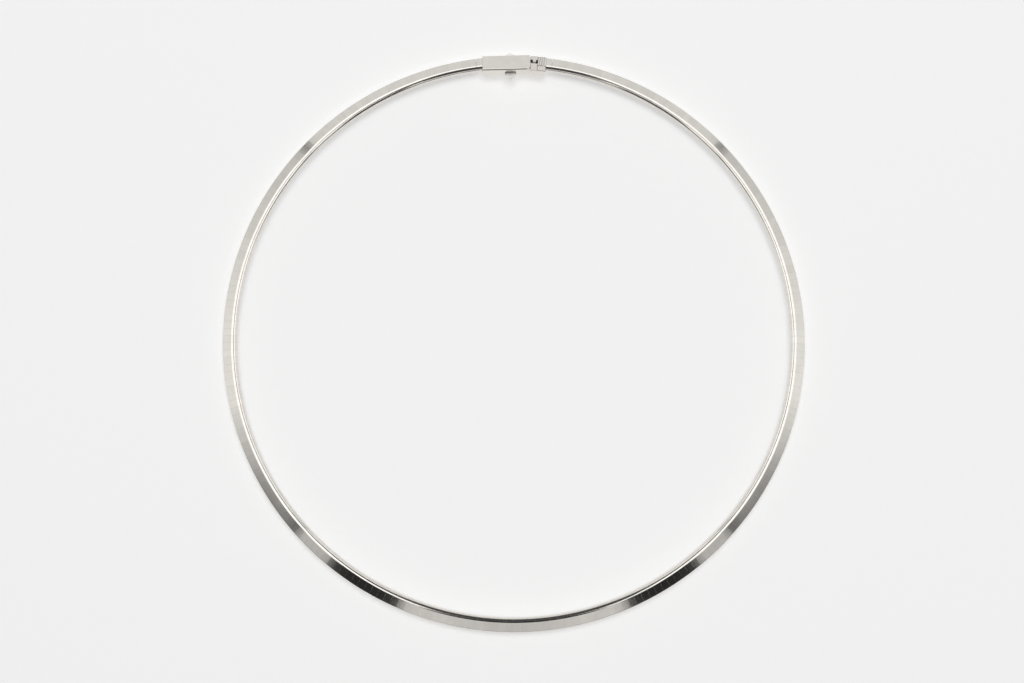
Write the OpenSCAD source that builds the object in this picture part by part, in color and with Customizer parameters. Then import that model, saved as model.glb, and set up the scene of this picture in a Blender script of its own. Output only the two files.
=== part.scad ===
// Omega necklace: a stiff ring of short C-shaped plates, closed round a flat woven core and held by
// a box clasp with two side push buttons. It lies on a surface as a shallow cone: the face looks up
// and outward, and the ring rests on its outer lower edge. The origin is the middle of the ring on
// that surface, and the clasp is on the +Y side.

/* [Band] */
// Length of the closed necklace along the middle of the band
neck_length = 420; // [400:5:440]
// Width of the band across its face
band_w = 3.5; // [3.4:0.05:3.7]
// Thickness of the band
band_t = 2; // [1.9:0.05:2.1]
// Radius of the band's outer long edges
outer_r = 0.45; // [0.4:0.01:0.5]
// Radius of the band's inner long edges, which are rounder
inner_r = 0.88; // [0.8:0.02:0.92]
// Slope of the face, from flat, down towards the outside
tilt = 30; // [26:1:32]

/* [Plates] */
// Length of one plate along the band, with its gap
plate_pitch = 1.7; // [1.7:0.05:2]
// Gap between two plates
plate_gap = 0.11; // [0.1:0.01:0.14]
// Thickness of a plate's metal
plate_wall = 0.35; // [0.3:0.01:0.36]
// Width of the open slot along the back of the plates
back_slot_w = 1.5; // [1.2:0.1:1.7]
// Free space round the woven core
core_play = 0.05; // [0.03:0.01:0.08]

/* [Clasp box] */
// Length of the box along the band
box_l = 11.4; // [11.2:0.1:11.6]
// How much wider than the band the clasp is
clasp_extra_w = 1.45; // [1.35:0.05:1.5]
// Thickness of the clasp
clasp_t = 2.25; // [2.2:0.05:2.3]
// Height of the clasp's top above the band's face
clasp_rise = 0.2; // [0.15:0.05:0.25]
// How far the clasp sits inward of the band's middle line, along the face
clasp_inset = 0.6; // [0.55:0.05:0.65]
// Thickness of the box's side walls and top
box_wall = 0.35; // [0.33:0.01:0.37]
// Thickness of the box's floor
box_floor = 0.3; // [0.28:0.01:0.32]

/* [Tongue] */
// Length of the tongue's base, outside the box
base_l = 3.7; // [3.6:0.1:3.9]
// Length of the ribbed grip on the base
grip_l = 1.9; // [1.8:0.05:2]
// Gap between the box's mouth and the base
mouth_gap = 0.1; // [0.08:0.01:0.14]
// Thickness of the blade inside the box
blade_t = 0.7; // [0.6:0.05:0.75]

/* [Buttons] */
// Width of a push button
button_w = 2.4; // [2.2:0.1:2.5]
// How far a button stands out of the box
button_out = 1.7; // [1.6:0.05:1.8]
// Thickness of a button
button_t = 0.5; // [0.45:0.05:0.55]
// Free space between a button and the edge of its window
window_play = 0.1; // [0.08:0.01:0.12]

/* [Hidden] */
$fn = 64;
over = 1;
steel = [0.80, 0.79, 0.77];
dark_steel = [0.55, 0.54, 0.52];

// The ring's middle line
ring_r = neck_length / (2 * PI);
function arc_angle(length) = 180 * length / (PI * ring_r);

// Places along the ring, as angles from +X; the box and the base are each straight and lie end to
// end along the ring, and x is measured from the +Y axis
clasp_left_x = -7.5;
box_angle = 90 + arc_angle(-clasp_left_x - box_l / 2);
base_angle = 90 + arc_angle(-clasp_left_x - box_l - mouth_gap - base_l / 2);
cap_l = 1.45;
cap_in = 0.7;
socket_l = 0.8;
core_in = 0.6;
cap_left = box_angle + arc_angle(box_l / 2);
cap_right = base_angle - arc_angle(base_l / 2);
band_from = cap_left + arc_angle(cap_l);
band_to = cap_right - arc_angle(cap_l) + 360;
band_angle = band_to - band_from;
plate_count = floor(band_angle / arc_angle(plate_pitch));
half_count = floor(plate_count / 2);
plate_step = (band_angle - arc_angle(plate_gap)) / plate_count;

// The clasp's section
clasp_w = band_w + clasp_extra_w;
clasp_top = band_t / 2 + clasp_rise;
clasp_bottom = clasp_top - clasp_t;
cavity_w = clasp_w - 2 * box_wall;
cavity_bottom = clasp_bottom + box_floor;
cavity_top = clasp_top - box_wall;
end_wall = 0.9;
clasp_r_outer = 0.5;
clasp_r_inner = 0.3;
lid_r_inner = 0.95;
lid_r_outer = 0.5;

// The buttons and what holds them, in the box's own frame
button_x = 0.95;
button_bottom = cavity_bottom + 0.27;
flange_w = button_w + 0.6;
flange_t = 0.32;
flange_play = 0.05;
flange_h = button_t + 0.1;
window_top = cavity_top - 0.2;
window_half = button_w / 2 + window_play;
window_rise = 0.35;
window_r = (pow(window_half, 2) + pow(window_rise, 2)) / (2 * window_rise);

// The height of the ring's middle line at which the lowest edge, of the band, the clasp or the outer
// button, meets the surface
function drop(out, down, r) = (out - r) * sin(tilt) + (down - r) * cos(tilt) + r;
ring_z = max(drop(band_w / 2, band_t / 2, outer_r),
             drop(clasp_w / 2 - clasp_inset, -clasp_bottom, clasp_r_outer),
             drop(clasp_w / 2 - clasp_inset + button_out, -button_bottom, 0));

// The tongue's blade: a wide root, a slim stretch between the buttons and a wide head
blade_bottom = cavity_bottom + 0.15;
root_w = 3.3;
slim_w = 1.1;
head_w = 3;
slim_from = button_x - flange_w / 2 - 0.3;
slim_to = button_x + flange_w / 2 + 0.3;
head_from = slim_from - 2.6;

// The base: a tray with a rounded neck, a slot in the neck and the ribbed grip; it starts a little
// early and is trimmed beside the box's mouth
base_early = 0.3;
base_from = -base_l / 2 - base_early;
grip_from = base_l / 2 - grip_l;
neck_middle = -grip_l / 2;
tray_top = clasp_top - 0.8;
neck_r = 2.2;
neck_top = clasp_top - 0.15;
slot_inner_y = -0.2;
slot_outer_y = 1.15;
slot_floor = tray_top - 0.05;
slot_cross_w = 0.6;
slot_tab_w = 0.75;
rib_pitch = 0.5;
rib_cut_w = 0.25;
rib_cut = 0.3;
rib_from_y = -0.8;
grip_step = 0.12;

// A bar's section, centred, with its outer corners (+X) and inner corners (-X) rounded
module rounded_bar(w, h, r_out, r_in) {
    translate([r_in - w / 2, -h / 2]) square([w - r_in - r_out, h]);
    translate([-w / 2, r_in - h / 2]) square([w / 2, h - 2 * r_in]);
    translate([0, r_out - h / 2]) square([w / 2, h - 2 * r_out]);
    for (y = [-1, 1]) {
        translate([w / 2 - r_out, y * (h / 2 - r_out)]) circle(r_out);
        translate([r_in - w / 2, y * (h / 2 - r_in)]) circle(r_in);
    }
}

// Turns a section drawn across the band into a stretch of the ring from one angle to another
module along_ring(from, to) {
    rotate([0, 0, from])
        rotate_extrude(angle = to - from)
            translate([ring_r, ring_z]) rotate(-tilt) children();
}

// Sets a piece drawn flat, with X along the band, Y outward and Z off the face, at an angle on the ring
module on_ring(angle) {
    rotate([0, 0, angle - 90])
        translate([0, ring_r, ring_z])
            rotate([-tilt, 0, 0]) translate([0, -clasp_inset, 0]) children();
}

// The core's section, or the space for it inside a plate when there is no play: its inner corners
// follow the plate's, so that the metal keeps its thickness
module core_section(play) {
    w = band_w - 2 * (plate_wall + play);
    h = band_t - 2 * (plate_wall + play);
    r = inner_r - plate_wall - play;
    translate([r - w / 2, -h / 2]) square([w - r, h]);
    translate([-w / 2, r - h / 2]) square([w / 2, h - 2 * r]);
    for (y = [-1, 1])
        translate([r - w / 2, y * (h / 2 - r)]) circle(r);
}

module plate_section() {
    difference() {
        rounded_bar(band_w, band_t, outer_r, inner_r);
        core_section(0);
        translate([-back_slot_w / 2, -band_t / 2 - over]) square([back_slot_w, over + plate_wall * 2]);
    }
}

// The plates from one number to another, counted from the box and round the -X side
module plates(first, last) {
    color(steel)
        for (i = [first : last]) {
            from = band_from + arc_angle(plate_gap) + i * plate_step;
            along_ring(from, from + plate_step - arc_angle(plate_gap)) plate_section();
        }
}

module plates_left() {
    plates(0, half_count - 1);
}

module plates_right() {
    plates(half_count, plate_count - 1);
}

module core() {
    color(dark_steel)
        along_ring(band_from - arc_angle(core_in), band_to + arc_angle(core_in)) core_section(core_play);
}

// A closed cap at an end of the band, let into the clasp, with a socket for the core; side is 1 on
// the left end and -1 on the right end
module end_cap(clasp_end, side) {
    inside = clasp_end - side * arc_angle(cap_in);
    outside = clasp_end + side * arc_angle(cap_l);
    socket = outside - side * arc_angle(socket_l);
    past = outside + side * arc_angle(over);
    difference() {
        along_ring(min(inside, outside), max(inside, outside)) rounded_bar(band_w, band_t, outer_r, inner_r);
        along_ring(min(socket, past), max(socket, past)) core_section(0);
    }
}

// A stretch of the clasp's rounded outer form, from one X to another
module clasp_bar(from, to) {
    translate([from, 0, (clasp_top + clasp_bottom) / 2])
        rotate([90, 0, 90]) linear_extrude(to - from)
            rounded_bar(clasp_w, clasp_t, clasp_r_outer, clasp_r_inner);
}

// The top plate's outline, with a large round at its inner corner and a small one at its outer corner
module lid_outline() {
    end = box_l / 2;
    half = clasp_w / 2;
    translate([-end - over, -half - over]) square([2 * end + over - lid_r_inner, 2 * half + 2 * over]);
    translate([-end - over, lid_r_inner - half]) square([2 * end + over, 2 * half - lid_r_inner - lid_r_outer]);
    translate([0, -half + lid_r_inner]) square([end - lid_r_outer, 2 * half - lid_r_inner + over]);
    translate([end - lid_r_inner, lid_r_inner - half]) circle(lid_r_inner);
    translate([end - lid_r_outer, half - lid_r_outer]) circle(lid_r_outer);
}

// A window in one side wall: straight below and arched above; side is 1 outward and -1 inward
module window(side) {
    translate([button_x, side * (clasp_w / 2), 0])
        intersection() {
            translate([0, 0, window_top - window_r]) rotate([90, 0, 0])
                cylinder(h = 2, r = window_r, center = true);
            translate([-window_half, -over, button_bottom - window_play])
                cube([2 * window_half, 2 * over, clasp_t]);
        }
}

module box_shell() {
    lower_top = cavity_top - 0.05;
    difference() {
        intersection() {
            clasp_bar(-box_l / 2, box_l / 2);
            union() {
                translate([-box_l, -clasp_w, clasp_bottom - over])
                    cube([2 * box_l, 2 * clasp_w, lower_top - clasp_bottom + over]);
                translate([0, 0, clasp_bottom]) linear_extrude(clasp_t + over) lid_outline();
            }
        }
        translate([-box_l / 2 + end_wall, -cavity_w / 2, cavity_bottom])
            cube([box_l, cavity_w, cavity_top - cavity_bottom]);
        window(1);
        window(-1);
    }
}

module clasp_box() {
    color(steel)
        union() {
            on_ring(box_angle) box_shell();
            end_cap(cap_left, 1);
        }
}

// The blade, in the box's frame
module blade() {
    translate([head_from, -head_w / 2, blade_bottom]) cube([slim_from - head_from, head_w, blade_t]);
    translate([slim_from - over / 2, -slim_w / 2, blade_bottom])
        cube([slim_to - slim_from + over, slim_w, blade_t]);
    translate([slim_to, -root_w / 2, blade_bottom])
        cube([box_l / 2 + mouth_gap + 0.5 - slim_to, root_w, blade_t]);
}

module grip() {
    rib_count = floor((grip_l - 0.2) / rib_pitch);
    difference() {
        clasp_bar(grip_from, base_l / 2);
        translate([grip_from - over, -clasp_w, clasp_top - grip_step])
            cube([grip_l + 2 * over, clasp_w + rib_from_y, over]);
        for (i = [0 : rib_count - 1])
            translate([grip_from + 0.3 + i * rib_pitch, rib_from_y, clasp_top - rib_cut])
                cube([rib_cut_w, clasp_w, over]);
    }
}

// The rounded saddle between the box's mouth and the grip
module neck() {
    intersection() {
        clasp_bar(base_from, grip_from + 0.05);
        translate([neck_middle, -clasp_w / 2, neck_top - neck_r]) rotate([-90, 0, 0])
            cylinder(h = clasp_w, r = neck_r);
    }
}

// The slot cut in the neck, from the box's mouth to the grip, with a small tab left standing in it
module slot() {
    difference() {
        translate([base_from - over, slot_inner_y, slot_floor])
            cube([grip_from - base_from + over, slot_outer_y - slot_inner_y, clasp_t]);
        translate([neck_middle - slot_tab_w / 2, slot_inner_y + slot_cross_w, slot_floor - over])
            cube([slot_tab_w, clasp_w, clasp_t + 3 * over]);
    }
}

module tray() {
    difference() {
        clasp_bar(base_from, base_l / 2);
        translate([base_from - over, -clasp_w, tray_top]) cube([base_l + 3 * over, 2 * clasp_w, clasp_t]);
    }
}

module clasp_base() {
    difference() {
        union() {
            tray();
            neck();
        }
        slot();
    }
    grip();
}

module clasp_tongue() {
    color(steel)
        union() {
            on_ring(box_angle) blade();
            difference() {
                on_ring(base_angle) clasp_base();
                on_ring(box_angle)
                    translate([mouth_gap, -clasp_w, -clasp_w]) cube([box_l / 2, 2 * clasp_w, 2 * clasp_w]);
            }
            end_cap(cap_right, -1);
        }
}

// A push button: a half-round head that stands out of the window, and a flange behind the wall that
// keeps it in; side is 1 on the outer button and -1 on the inner one
module button(side) {
    head_y = clasp_w / 2 + button_out - button_w / 2;
    flange_y = cavity_w / 2 - flange_play - flange_t;
    on_ring(box_angle)
        translate([button_x, 0, button_bottom]) mirror([0, (1 - side) / 2, 0]) {
            translate([0, head_y, 0]) cylinder(h = button_t, r = button_w / 2);
            translate([-button_w / 2, flange_y, 0]) cube([button_w, head_y - flange_y, button_t]);
            translate([-flange_w / 2, flange_y, 0]) cube([flange_w, flange_t, flange_h]);
        }
}

module button_inner() {
    color(steel) button(-1);
}

module button_outer() {
    color(steel) button(1);
}

plates_left();
plates_right();
core();
clasp_box();
clasp_tongue();
button_inner();
button_outer();
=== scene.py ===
"""Omega necklace: the visible pieces, materials, floor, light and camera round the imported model."""
import math
import bpy
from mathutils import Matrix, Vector


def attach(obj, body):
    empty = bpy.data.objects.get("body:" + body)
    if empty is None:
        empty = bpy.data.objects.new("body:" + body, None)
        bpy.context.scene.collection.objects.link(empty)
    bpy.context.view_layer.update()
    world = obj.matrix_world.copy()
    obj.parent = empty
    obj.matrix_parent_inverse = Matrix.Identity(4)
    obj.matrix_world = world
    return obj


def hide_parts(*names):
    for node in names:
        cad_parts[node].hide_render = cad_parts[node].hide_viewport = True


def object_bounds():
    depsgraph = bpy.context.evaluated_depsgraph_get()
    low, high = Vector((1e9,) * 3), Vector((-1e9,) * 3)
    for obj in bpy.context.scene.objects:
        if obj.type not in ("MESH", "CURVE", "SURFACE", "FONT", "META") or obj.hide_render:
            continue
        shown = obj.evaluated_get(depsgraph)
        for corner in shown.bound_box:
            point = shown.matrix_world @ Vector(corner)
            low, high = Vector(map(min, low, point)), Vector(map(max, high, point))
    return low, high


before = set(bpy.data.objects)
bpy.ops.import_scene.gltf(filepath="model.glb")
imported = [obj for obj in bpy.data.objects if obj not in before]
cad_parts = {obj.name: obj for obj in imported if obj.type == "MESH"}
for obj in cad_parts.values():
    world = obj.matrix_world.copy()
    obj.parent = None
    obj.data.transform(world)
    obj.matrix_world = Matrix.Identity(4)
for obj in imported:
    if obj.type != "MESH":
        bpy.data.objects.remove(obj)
cad_low, cad_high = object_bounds()

MM = 0.001

# Sizes repeated from the part's source, in millimetres and degrees
RING_R = 420 / (2 * math.pi)
BAND_W = 3.5
BAND_T = 2.0
OUTER_EDGE_R = 0.45
INNER_EDGE_R = 0.88
TILT = 30.0
PLATE_WALL = 0.35
BACK_SLOT_W = 1.5
CORE_PLAY = 0.05
PLATE_PITCH = 1.7
PLATE_GAP = 0.11
CAP_L = 1.45
BOX_L = 11.4
BASE_L = 3.7
MOUTH_GAP = 0.1
CLASP_LEFT_X = -7.5
CORE_IN = 0.6

# The outer button's lowest edge, on which the ring rests: across and below the band's middle line
BUTTON_TIP = (3.575, 0.48)

slope = math.radians(TILT)
RING_Z = BUTTON_TIP[0] * math.sin(slope) + BUTTON_TIP[1] * math.cos(slope)


def arc(length):
    """The angle, in degrees, that a length along the ring's middle line spans."""
    return math.degrees(length / RING_R)


# Places round the ring, in degrees: 90 is at the back, where the clasp is
box_angle = 90 + arc(-CLASP_LEFT_X - BOX_L / 2)
base_angle = 90 + arc(-CLASP_LEFT_X - BOX_L - MOUTH_GAP - BASE_L / 2)
band_from = box_angle + arc(BOX_L / 2 + CAP_L)
band_to = base_angle - arc(BASE_L / 2 + CAP_L) + 360
plate_count = math.floor((band_to - band_from) / arc(PLATE_PITCH))
half_count = plate_count // 2
plate_step = (band_to - band_from - arc(PLATE_GAP)) / plate_count


# ---- Meshes ----

def ring_point(angle, across, off):
    """A point of the band in metres: across is outward along the face, off is away from it."""
    radius = RING_R + across * math.cos(slope) + off * math.sin(slope)
    height = RING_Z - across * math.sin(slope) + off * math.cos(slope)
    a = math.radians(angle)
    return (radius * MM * math.cos(a), radius * MM * math.sin(a), height * MM)


def new_mesh(name, verts, faces):
    mesh = bpy.data.meshes.new(name)
    mesh.from_pydata(verts, [], faces)
    return mesh


def new_object(name, data):
    obj = bpy.data.objects.new(name, data)
    bpy.context.collection.objects.link(obj)
    return obj


def make_piece(name, verts, faces, body, smooth_angle=35):
    """A mesh object that rides on a body, smooth but for edges sharper than an angle in degrees."""
    mesh = new_mesh(name, verts, faces)
    mesh.update()
    mesh.shade_smooth()
    mesh.set_sharp_from_angle(angle=math.radians(smooth_angle))
    piece = new_object(name, mesh)
    normals = piece.modifiers.new("normals", "WEIGHTED_NORMAL")
    normals.keep_sharp = True
    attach(piece, body)
    return piece


# ---- The band's plates: the real ones touch, so only a hairline parts these ----

SEAM = 0.012
PLATE_BEVEL = 0.005
ARC_STEPS = 8


def plate_contour(inset):
    """Points of a plate's outside from one lip of the back slot round the face to the other lip."""
    half_w, half_t = BAND_W / 2, BAND_T / 2
    points = [(BACK_SLOT_W / 2, inset - half_t)]
    for side, up, start, r in ((1, -1, -90, OUTER_EDGE_R), (1, 1, 0, OUTER_EDGE_R),
                               (-1, 1, 90, INNER_EDGE_R), (-1, -1, 180, INNER_EDGE_R)):
        for k in range(ARC_STEPS + 1):
            a = math.radians(start + 90 * k / ARC_STEPS)
            points.append((side * (half_w - r) + (r - inset) * math.cos(a),
                           up * (half_t - r) + (r - inset) * math.sin(a)))
    points.append((-BACK_SLOT_W / 2, inset - half_t))
    return points


OUTSIDE = plate_contour(0)
BEVELLED = plate_contour(PLATE_BEVEL)
INSIDE = plate_contour(PLATE_WALL)


def add_plate(verts, faces, start, end):
    """One C-shaped plate between two angles: rows of outside and inside points, joined by quads."""
    bevel = arc(PLATE_BEVEL)
    middle = (start + end) / 2
    rows = [(start, BEVELLED), (start + bevel, OUTSIDE), (middle, OUTSIDE), (end - bevel, OUTSIDE),
            (end, BEVELLED)]
    n = len(OUTSIDE)
    base = len(verts)
    for angle, outside in rows:
        verts.extend(ring_point(angle, *p) for p in outside)
        verts.extend(ring_point(angle, *p) for p in INSIDE)
    last = len(rows) - 1
    for k in range(last):
        a, b = base + k * 2 * n, base + (k + 1) * 2 * n
        for j in range(n - 1):
            faces.append((a + j, a + j + 1, b + j + 1, b + j))
            faces.append((a + n + j, b + n + j, b + n + j + 1, a + n + j + 1))
        faces.append((a, b, b + n, a + n))
        faces.append((a + n - 1, a + 2 * n - 1, b + 2 * n - 1, b + n - 1))
    a, b = base, base + last * 2 * n
    for j in range(n - 1):
        faces.append((a + j, a + n + j, a + n + j + 1, a + j + 1))
        faces.append((b + j, b + j + 1, b + n + j + 1, b + n + j))


def make_plates(name, first, count, node):
    """A run of plates as one piece, in the place of a CAD node whose plates stand further apart."""
    verts, faces = [], []
    for i in range(first, first + count):
        middle = band_from + arc(PLATE_GAP) / 2 + (i + 0.5) * plate_step
        half = (plate_step - arc(SEAM)) / 2
        add_plate(verts, faces, middle - half, middle + half)
    piece = make_piece(name, verts, faces, "necklace")
    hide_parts(node)
    return piece


plates = [make_plates("band_plates_left", 0, half_count, "plates_left"),
          make_plates("band_plates_right", half_count, plate_count - half_count, "plates_right")]


# ---- The woven core: a flat plait of eight wires ----

STRANDS = 8
STRAND_R = 0.2
STRAND_SIDES = 6
PLAIT_LENGTH = 5.0
POINTS_PER_TURN = 14
WAVE_HEIGHT = 0.08
WAVES_PER_TURN = 8

core_w = BAND_W - 2 * PLATE_WALL - 2 * CORE_PLAY
core_t = BAND_T - 2 * PLATE_WALL - 2 * CORE_PLAY


def make_core():
    """Wires that swing across the core and through its thickness in turn, over its whole length."""
    start, end = band_from - arc(CORE_IN), band_to + arc(CORE_IN)
    turns = round(math.radians(end - start) * RING_R / PLAIT_LENGTH)
    steps = turns * POINTS_PER_TURN
    swing_w, swing_t = core_w / 2 - STRAND_R, core_t / 2 - STRAND_R
    verts, faces = [], []
    for strand in range(STRANDS):
        base = len(verts)
        for k in range(steps + 1):
            phase = 2 * math.pi * (k / POINTS_PER_TURN + strand / STRANDS)
            across = swing_w * math.sin(phase)
            off = swing_t * math.cos(phase) + WAVE_HEIGHT * math.sin(WAVES_PER_TURN * phase)
            angle = start + (end - start) * k / steps
            for side in range(STRAND_SIDES):
                a = 2 * math.pi * side / STRAND_SIDES
                verts.append(ring_point(angle, across + STRAND_R * math.cos(a),
                                        off + STRAND_R * math.sin(a)))
        for k in range(steps):
            for side in range(STRAND_SIDES):
                a = base + k * STRAND_SIDES + side
                b = base + k * STRAND_SIDES + (side + 1) % STRAND_SIDES
                faces.append((a, b, b + STRAND_SIDES, a + STRAND_SIDES))
        faces.append(tuple(base + s for s in range(STRAND_SIDES - 1, -1, -1)))
        faces.append(tuple(base + steps * STRAND_SIDES + s for s in range(STRAND_SIDES)))
    piece = make_piece("woven_core", verts, faces, "necklace", smooth_angle=80)
    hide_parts("core")
    return piece


core = make_core()


# ---- Nodes ----

def feed(tree, socket, value):
    """Link a socket to another one, or set it to a number or a colour."""
    if isinstance(value, bpy.types.NodeSocket):
        tree.links.new(value, socket)
    else:
        socket.default_value = value


def fill(tree, node, **values):
    """Feed a node's inputs, whose names have _ here for a space."""
    for name, value in values.items():
        feed(tree, node.inputs[name.replace("_", " ")], value)
    return node


def add_node(tree, kind, **values):
    return fill(tree, tree.nodes.new(kind), **values)


def maths(tree, operation, *values):
    node = tree.nodes.new("ShaderNodeMath")
    node.operation = operation
    for socket, value in zip(node.inputs, values):
        feed(tree, socket, value)
    return node.outputs[0]


def spread(tree, value, from_low, from_high, to_low, to_high):
    """A value carried over from one range to another, and kept inside it."""
    node = add_node(tree, "ShaderNodeMapRange", Value=value, From_Min=from_low, From_Max=from_high,
                    To_Min=to_low, To_Max=to_high)
    return node.outputs["Result"]


def new_material(name):
    """A material with its node tree, its shader and the place on the object's surface."""
    material = bpy.data.materials.new(name)
    material.use_nodes = True
    tree = material.node_tree
    place = tree.nodes.new("ShaderNodeTexCoord").outputs["Object"]
    return material, tree, tree.nodes["Principled BSDF"], place


# ---- Materials ----

# The values between which nearly all of a noise lies
NOISE_LOW, NOISE_HIGH = 0.3, 0.7

# The slow change of tone: its size in millimetres and the share that it takes off the colour
TONE_SIZE = 3.0
TONE_CHANGE = 0.05

ROUGHNESS_CHANGE = 0.2
GRAIN_STRENGTH = 0.6

# Painted shade in narrow grooves: how near the walls of a groove are, in millimetres, and how open
# a place is where the painted shade is full and where it ends
GROOVE_REACH = 0.35
GROOVE_DEEP, GROOVE_OPEN = 0.2, 0.9


def plate_dice(tree, place):
    """A random number for each plate, from 0 to 1."""
    split = add_node(tree, "ShaderNodeSeparateXYZ", Vector=place)
    turn = maths(tree, "ARCTAN2", split.outputs["Y"], split.outputs["X"])
    turn = maths(tree, "ADD", turn, math.tau - math.radians(band_from))
    turn = maths(tree, "MODULO", turn, math.tau)
    number = maths(tree, "FLOOR", maths(tree, "DIVIDE", turn, math.radians(plate_step)))
    dice = tree.nodes.new("ShaderNodeTexWhiteNoise")
    dice.noise_dimensions = "1D"
    return fill(tree, dice, W=number).outputs["Value"]


def metal(name, colour, roughness, grain_size, grain_depth, plates_change=0.0, painted_groove_shade=0.0):
    """A satin metal with a fine grain in its relief and roughness and a slow change of tone. Its
    tone can also change from plate to plate, and painted shade can darken its narrow grooves."""
    material, tree, shader, place = new_material(name)
    fine = add_node(tree, "ShaderNodeTexNoise", Vector=place, Scale=1 / (grain_size * MM),
                    Detail=3.0).outputs["Fac"]
    slow = add_node(tree, "ShaderNodeTexNoise", Vector=place, Scale=1 / (TONE_SIZE * MM),
                    Detail=2.0).outputs["Fac"]
    tone = spread(tree, slow, NOISE_LOW, NOISE_HIGH, 1 - TONE_CHANGE, 1.0)
    if plates_change:
        plate_tone = spread(tree, plate_dice(tree, place), 0.0, 1.0, 1 - plates_change, 1.0)
        tone = maths(tree, "MULTIPLY", tone, plate_tone)
    # Painted shade: narrow grooves, slots and joints are darkened the more closed in they are,
    # standing for the shade that falls in them
    if painted_groove_shade:
        open_share = add_node(tree, "ShaderNodeAmbientOcclusion",
                              Distance=GROOVE_REACH * MM).outputs["AO"]
        painted_shade_factor = spread(tree, open_share, GROOVE_DEEP, GROOVE_OPEN, 1 - painted_groove_shade, 1.0)
        tone = maths(tree, "MULTIPLY", tone, painted_shade_factor)
    red, green, blue = (maths(tree, "MULTIPLY", tone, channel) for channel in colour)
    base = add_node(tree, "ShaderNodeCombineColor", Red=red, Green=green, Blue=blue)
    rough = spread(tree, fine, NOISE_LOW, NOISE_HIGH, roughness * (1 - ROUGHNESS_CHANGE),
                   roughness * (1 + ROUGHNESS_CHANGE))
    bump = add_node(tree, "ShaderNodeBump", Height=fine, Strength=GRAIN_STRENGTH,
                    Distance=grain_depth * MM)
    fill(tree, shader, Metallic=1.0, Base_Color=base.outputs["Color"], Roughness=rough,
         Normal=bump.outputs["Normal"])
    return material


STEEL = (0.82, 0.787, 0.738)
WIRE = (0.55, 0.54, 0.52)
CHROME = (0.92, 0.90, 0.87)

band_metal = metal("band_steel", STEEL, roughness=0.10, grain_size=0.30, grain_depth=0.003,
                   plates_change=0.05)
# The clasp's grooves and joints get painted shade
clasp_metal = metal("clasp_steel", STEEL, roughness=0.10, grain_size=0.20, grain_depth=0.003,
                    painted_groove_shade=0.5)
wire_metal = metal("core_wire", WIRE, roughness=0.35, grain_size=0.15, grain_depth=0.01)
button_metal = metal("button_chrome", CHROME, roughness=0.55, grain_size=0.2, grain_depth=0.002)


def dress(obj, material):
    """Give an object a material, in the slots that it has or in a new one."""
    if not obj.material_slots:
        obj.data.materials.append(material)
    for slot in obj.material_slots:
        slot.material = material


for piece in plates:
    dress(piece, band_metal)
dress(core, wire_metal)
for node, material in (("clasp_box", clasp_metal), ("clasp_tongue", clasp_metal),
                       ("button_inner", button_metal), ("button_outer", button_metal)):
    dress(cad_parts[node], material)


# ---- Camera: leant towards the front, with a lens that gives the ring its size in the photo ----

CAMERA_LEAN = -8.3
CAMERA_FAR = 0.52
AIM = Vector((0, 0, 0.00214))
SENSOR_W = 36

# The ring's outer radius, in pixels and in metres
RING_PIXELS = 290.8
OUTER_R = 0.06861

FRAME_PIXELS = 1024
SHIFT_PIXELS = (-1.8, -2.6)

lean = math.radians(CAMERA_LEAN)
lens_data = bpy.data.cameras.new("camera")
camera = new_object("camera", lens_data)
towards_camera = Vector((0, math.sin(lean), math.cos(lean)))
camera.location = AIM + towards_camera * CAMERA_FAR
camera.rotation_euler = (-lean, 0, 0)
lens_data.sensor_width = SENSOR_W
lens_data.lens = RING_PIXELS / FRAME_PIXELS * SENSOR_W * CAMERA_FAR / OUTER_R
lens_data.shift_x = SHIFT_PIXELS[0] / FRAME_PIXELS
lens_data.shift_y = SHIFT_PIXELS[1] / FRAME_PIXELS
bpy.context.scene.camera = camera


# ---- Floor ----

TOOTH_SCALE = 900.0
TOOTH_STRENGTH = 0.05
TOOTH_DEPTH = 0.0001
MATT_SPECULAR = 0.15

FLOOR_HALF = 1.5
FLOOR_Z = cad_low.z
CORNERS = ((-1, -1), (1, -1), (1, 1), (-1, 1))


def plain_surface(name, colour, roughness, glow):
    """A matt surface with a fine tooth and a faint even glow."""
    material, tree, shader, place = new_material(name)
    tooth = add_node(tree, "ShaderNodeTexNoise", Vector=place, Scale=TOOTH_SCALE, Detail=2.0)
    bump = add_node(tree, "ShaderNodeBump", Height=tooth.outputs["Fac"], Strength=TOOTH_STRENGTH,
                    Distance=TOOTH_DEPTH)
    fill(tree, shader, Base_Color=(*colour, 1), Roughness=roughness,
         Specular_IOR_Level=MATT_SPECULAR, Emission_Color=(1, 1, 1, 1), Emission_Strength=glow,
         Normal=bump.outputs["Normal"])
    return material


floor_mesh = new_mesh("floor", [(x * FLOOR_HALF, y * FLOOR_HALF, FLOOR_Z) for x, y in CORNERS],
                      [(0, 1, 2, 3)])
floor = new_object("floor", floor_mesh)
floor_mesh.materials.append(
    plain_surface("floor_paper", (0.88, 0.88, 0.88), roughness=0.7, glow=0.448))


# ---- Light: a tent of white cloth as the world, where the camera sees a plain pale backdrop ----

# Brightness of the cloth, of its dark places and of the backdrop
WALL_SIDE = 0.93
WALL_SIDE_BACK = 0.68
WALL_SIDE_FRONT = 0.26
WALL_BACK = 0.80
WALL_FRONT = 0.58
WALL_FRONT_NEAR = 0.70
CEILING = 1.35
OPENING = 0.024
SEAM_DARK = 0.10
BACKDROP = 0.90

# How fully a seam covers the wall, and the share of the tent that lights the matt surfaces
SEAM_SHARE = 0.95
FILL = 0.185

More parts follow.
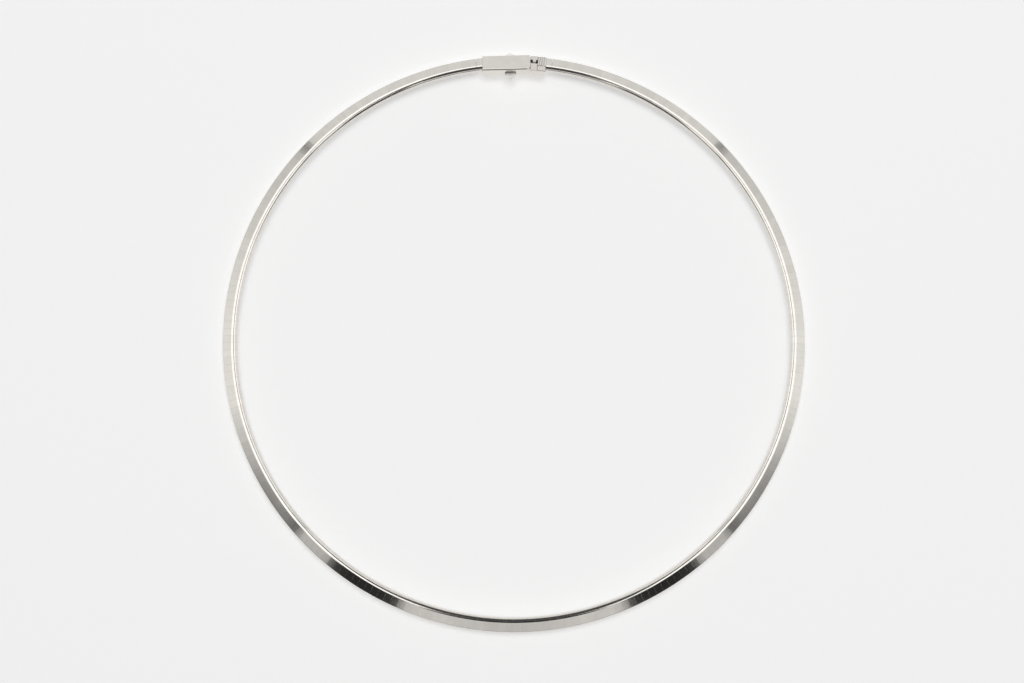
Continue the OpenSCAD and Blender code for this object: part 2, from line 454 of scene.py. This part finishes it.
# Angles round the tent, in degrees: 90 is behind the clasp, 0 at either side and -90 at the front
SIDE_TO_BACK = (12, 42)
SIDE_TO_FRONT = (-4, -24)
BACK_SEAM = 49.2
BACK_SEAM_HALF = 0.8
FRONT_SEAM = -34.0
FRONT_SEAM_HALF = 1.4
SEAM_SOFT = 0.5
CORNER_HALF = 1
FRONT_NEAR = (-84, -52)
FRONT_NEAR_SOFT = 8
SLIT = (-63.5, -44.5)
SLIT_SOFT = 0.8
FLAP = (-64.0, -68.0)
SKIRT = (-16.0, -40.0)
EAVES_RISE = (-28, -36)

# Angles over the horizon, in degrees
SLIT_HEIGHTS = (18, 56)
SLIT_END_SOFT = 3
FLAP_HEIGHTS = (40.0, 88.0)
FLAP_SOFT = 3.0
SKIRT_HEIGHTS = (9, 17)
EAVES_SIDE = 31.5
EAVES_FRONT = 38.0
EAVES_SOFT = 4.5
SEAM_TOP = (44, 50)

world = bpy.data.worlds.new("tent")
bpy.context.scene.world = world
world.use_nodes = True
world_tree = world.node_tree
world_tree.nodes.clear()


def calc(operation, *values):
    return maths(world_tree, operation, *values)


def fade(value, ends, low=0, high=1):
    """low where a value is at the first of two ends or before it, high at the second or after."""
    return spread(world_tree, value, *ends, low, high)


def around(middle, half):
    return (middle - half, middle + half)


def between(value, ends, soft):
    """1 where a value lies between two ends, with a soft edge."""
    return calc("MULTIPLY", fade(value, around(ends[0], soft)),
                fade(value, around(ends[1], soft), 1, 0))


def mix(share, low, high):
    """low where share is 0, high where it is 1."""
    return calc("ADD", calc("MULTIPLY", share, high),
                calc("MULTIPLY", calc("SUBTRACT", 1.0, share), low))


# The direction of a ray as two angles, with the left side the same as the right
direction = add_node(world_tree, "ShaderNodeSeparateXYZ",
                     Vector=world_tree.nodes.new("ShaderNodeTexCoord").outputs["Generated"])
dx, dy, dz = direction.outputs
turn = calc("MULTIPLY", calc("ARCTAN2", dy, calc("ABSOLUTE", dx)), 180 / math.pi)
height = calc("MULTIPLY", calc("ARCSINE", dz), 180 / math.pi)

# The walls, and the ceiling over the eaves
side_wall = mix(fade(turn, SIDE_TO_BACK), WALL_SIDE, WALL_SIDE_BACK)
side_wall = mix(fade(turn, SIDE_TO_FRONT), side_wall, WALL_SIDE_FRONT)
front_wall = mix(between(turn, FRONT_NEAR, FRONT_NEAR_SOFT), WALL_FRONT, WALL_FRONT_NEAR)
walls = mix(fade(turn, around(BACK_SEAM, CORNER_HALF)), side_wall, WALL_BACK)
walls = mix(fade(turn, around(FRONT_SEAM, -CORNER_HALF)), walls, front_wall)
eaves = mix(fade(turn, EAVES_RISE), EAVES_SIDE, EAVES_FRONT)
tent = mix(fade(calc("SUBTRACT", height, eaves), around(0, EAVES_SOFT)), walls, CEILING)

# The dark seams between the walls
seams = calc("ADD", between(turn, around(BACK_SEAM, BACK_SEAM_HALF), SEAM_SOFT),
             between(turn, around(FRONT_SEAM, FRONT_SEAM_HALF), SEAM_SOFT))
seams = calc("MULTIPLY", calc("MINIMUM", seams, 1.0), fade(height, SEAM_TOP, SEAM_SHARE, 0))
tent = mix(seams, tent, SEAM_DARK)

# The dark openings: a slit on each side of the front, a flap between the two that goes higher, and
# a gap under the skirt
slit = calc("MULTIPLY", between(turn, SLIT, SLIT_SOFT),
            between(height, SLIT_HEIGHTS, SLIT_END_SOFT))
flap = calc("MULTIPLY", fade(turn, FLAP), between(height, FLAP_HEIGHTS, FLAP_SOFT))
skirt = calc("MULTIPLY", fade(turn, SKIRT), fade(height, SKIRT_HEIGHTS, 1, 0))
opening = calc("MAXIMUM", calc("MAXIMUM", slit, flap), skirt)
tent = mix(opening, tent, OPENING)

light_path = add_node(world_tree, "ShaderNodeLightPath")
glow = mix(light_path.outputs["Is Diffuse Ray"], tent, calc("MULTIPLY", tent, FILL))
glow = mix(light_path.outputs["Is Camera Ray"], glow, BACKDROP)
background = add_node(world_tree, "ShaderNodeBackground", Color=(1, 1, 1, 1), Strength=glow)
add_node(world_tree, "ShaderNodeOutputWorld", Surface=background.outputs["Background"])

# The photographer: a dark strip that rises from behind the clasp to high over the front, seen only
# in reflections. Each row gives the x of its two sides, then y and z.
STRIP = ((-0.022, 0.022, 0.092, 0.075), (-0.028, 0.028, 0.0, 0.26), (-0.045, 0.075, -0.12, 0.30))
strip_mesh = new_mesh("photographer",
                      [(x, y, z) for left, right, y, z in STRIP for x in (left, right)],
                      [(k, k + 1, k + 3, k + 2) for k in range(0, 2 * len(STRIP) - 2, 2)])
strip = new_object("photographer", strip_mesh)
strip_mesh.materials.append(
    plain_surface("dark_cloth", (0.01, 0.01, 0.01), roughness=0.9, glow=0.05))
strip.visible_camera = strip.visible_diffuse = strip.visible_shadow = False

key_data = bpy.data.lights.new("key", "AREA")
key_data.shape = "DISK"
key_data.size = 0.8
key_data.energy = 4.4
key = new_object("key", key_data)
key.location = (0.05, 0.25, 1.2)
key.rotation_mode = "QUATERNION"
key.rotation_quaternion = (-key.location).to_track_quat("-Z", "Y")
key.visible_camera = False
key.visible_glossy = False

bpy.context.scene.view_settings.view_transform = "Standard"
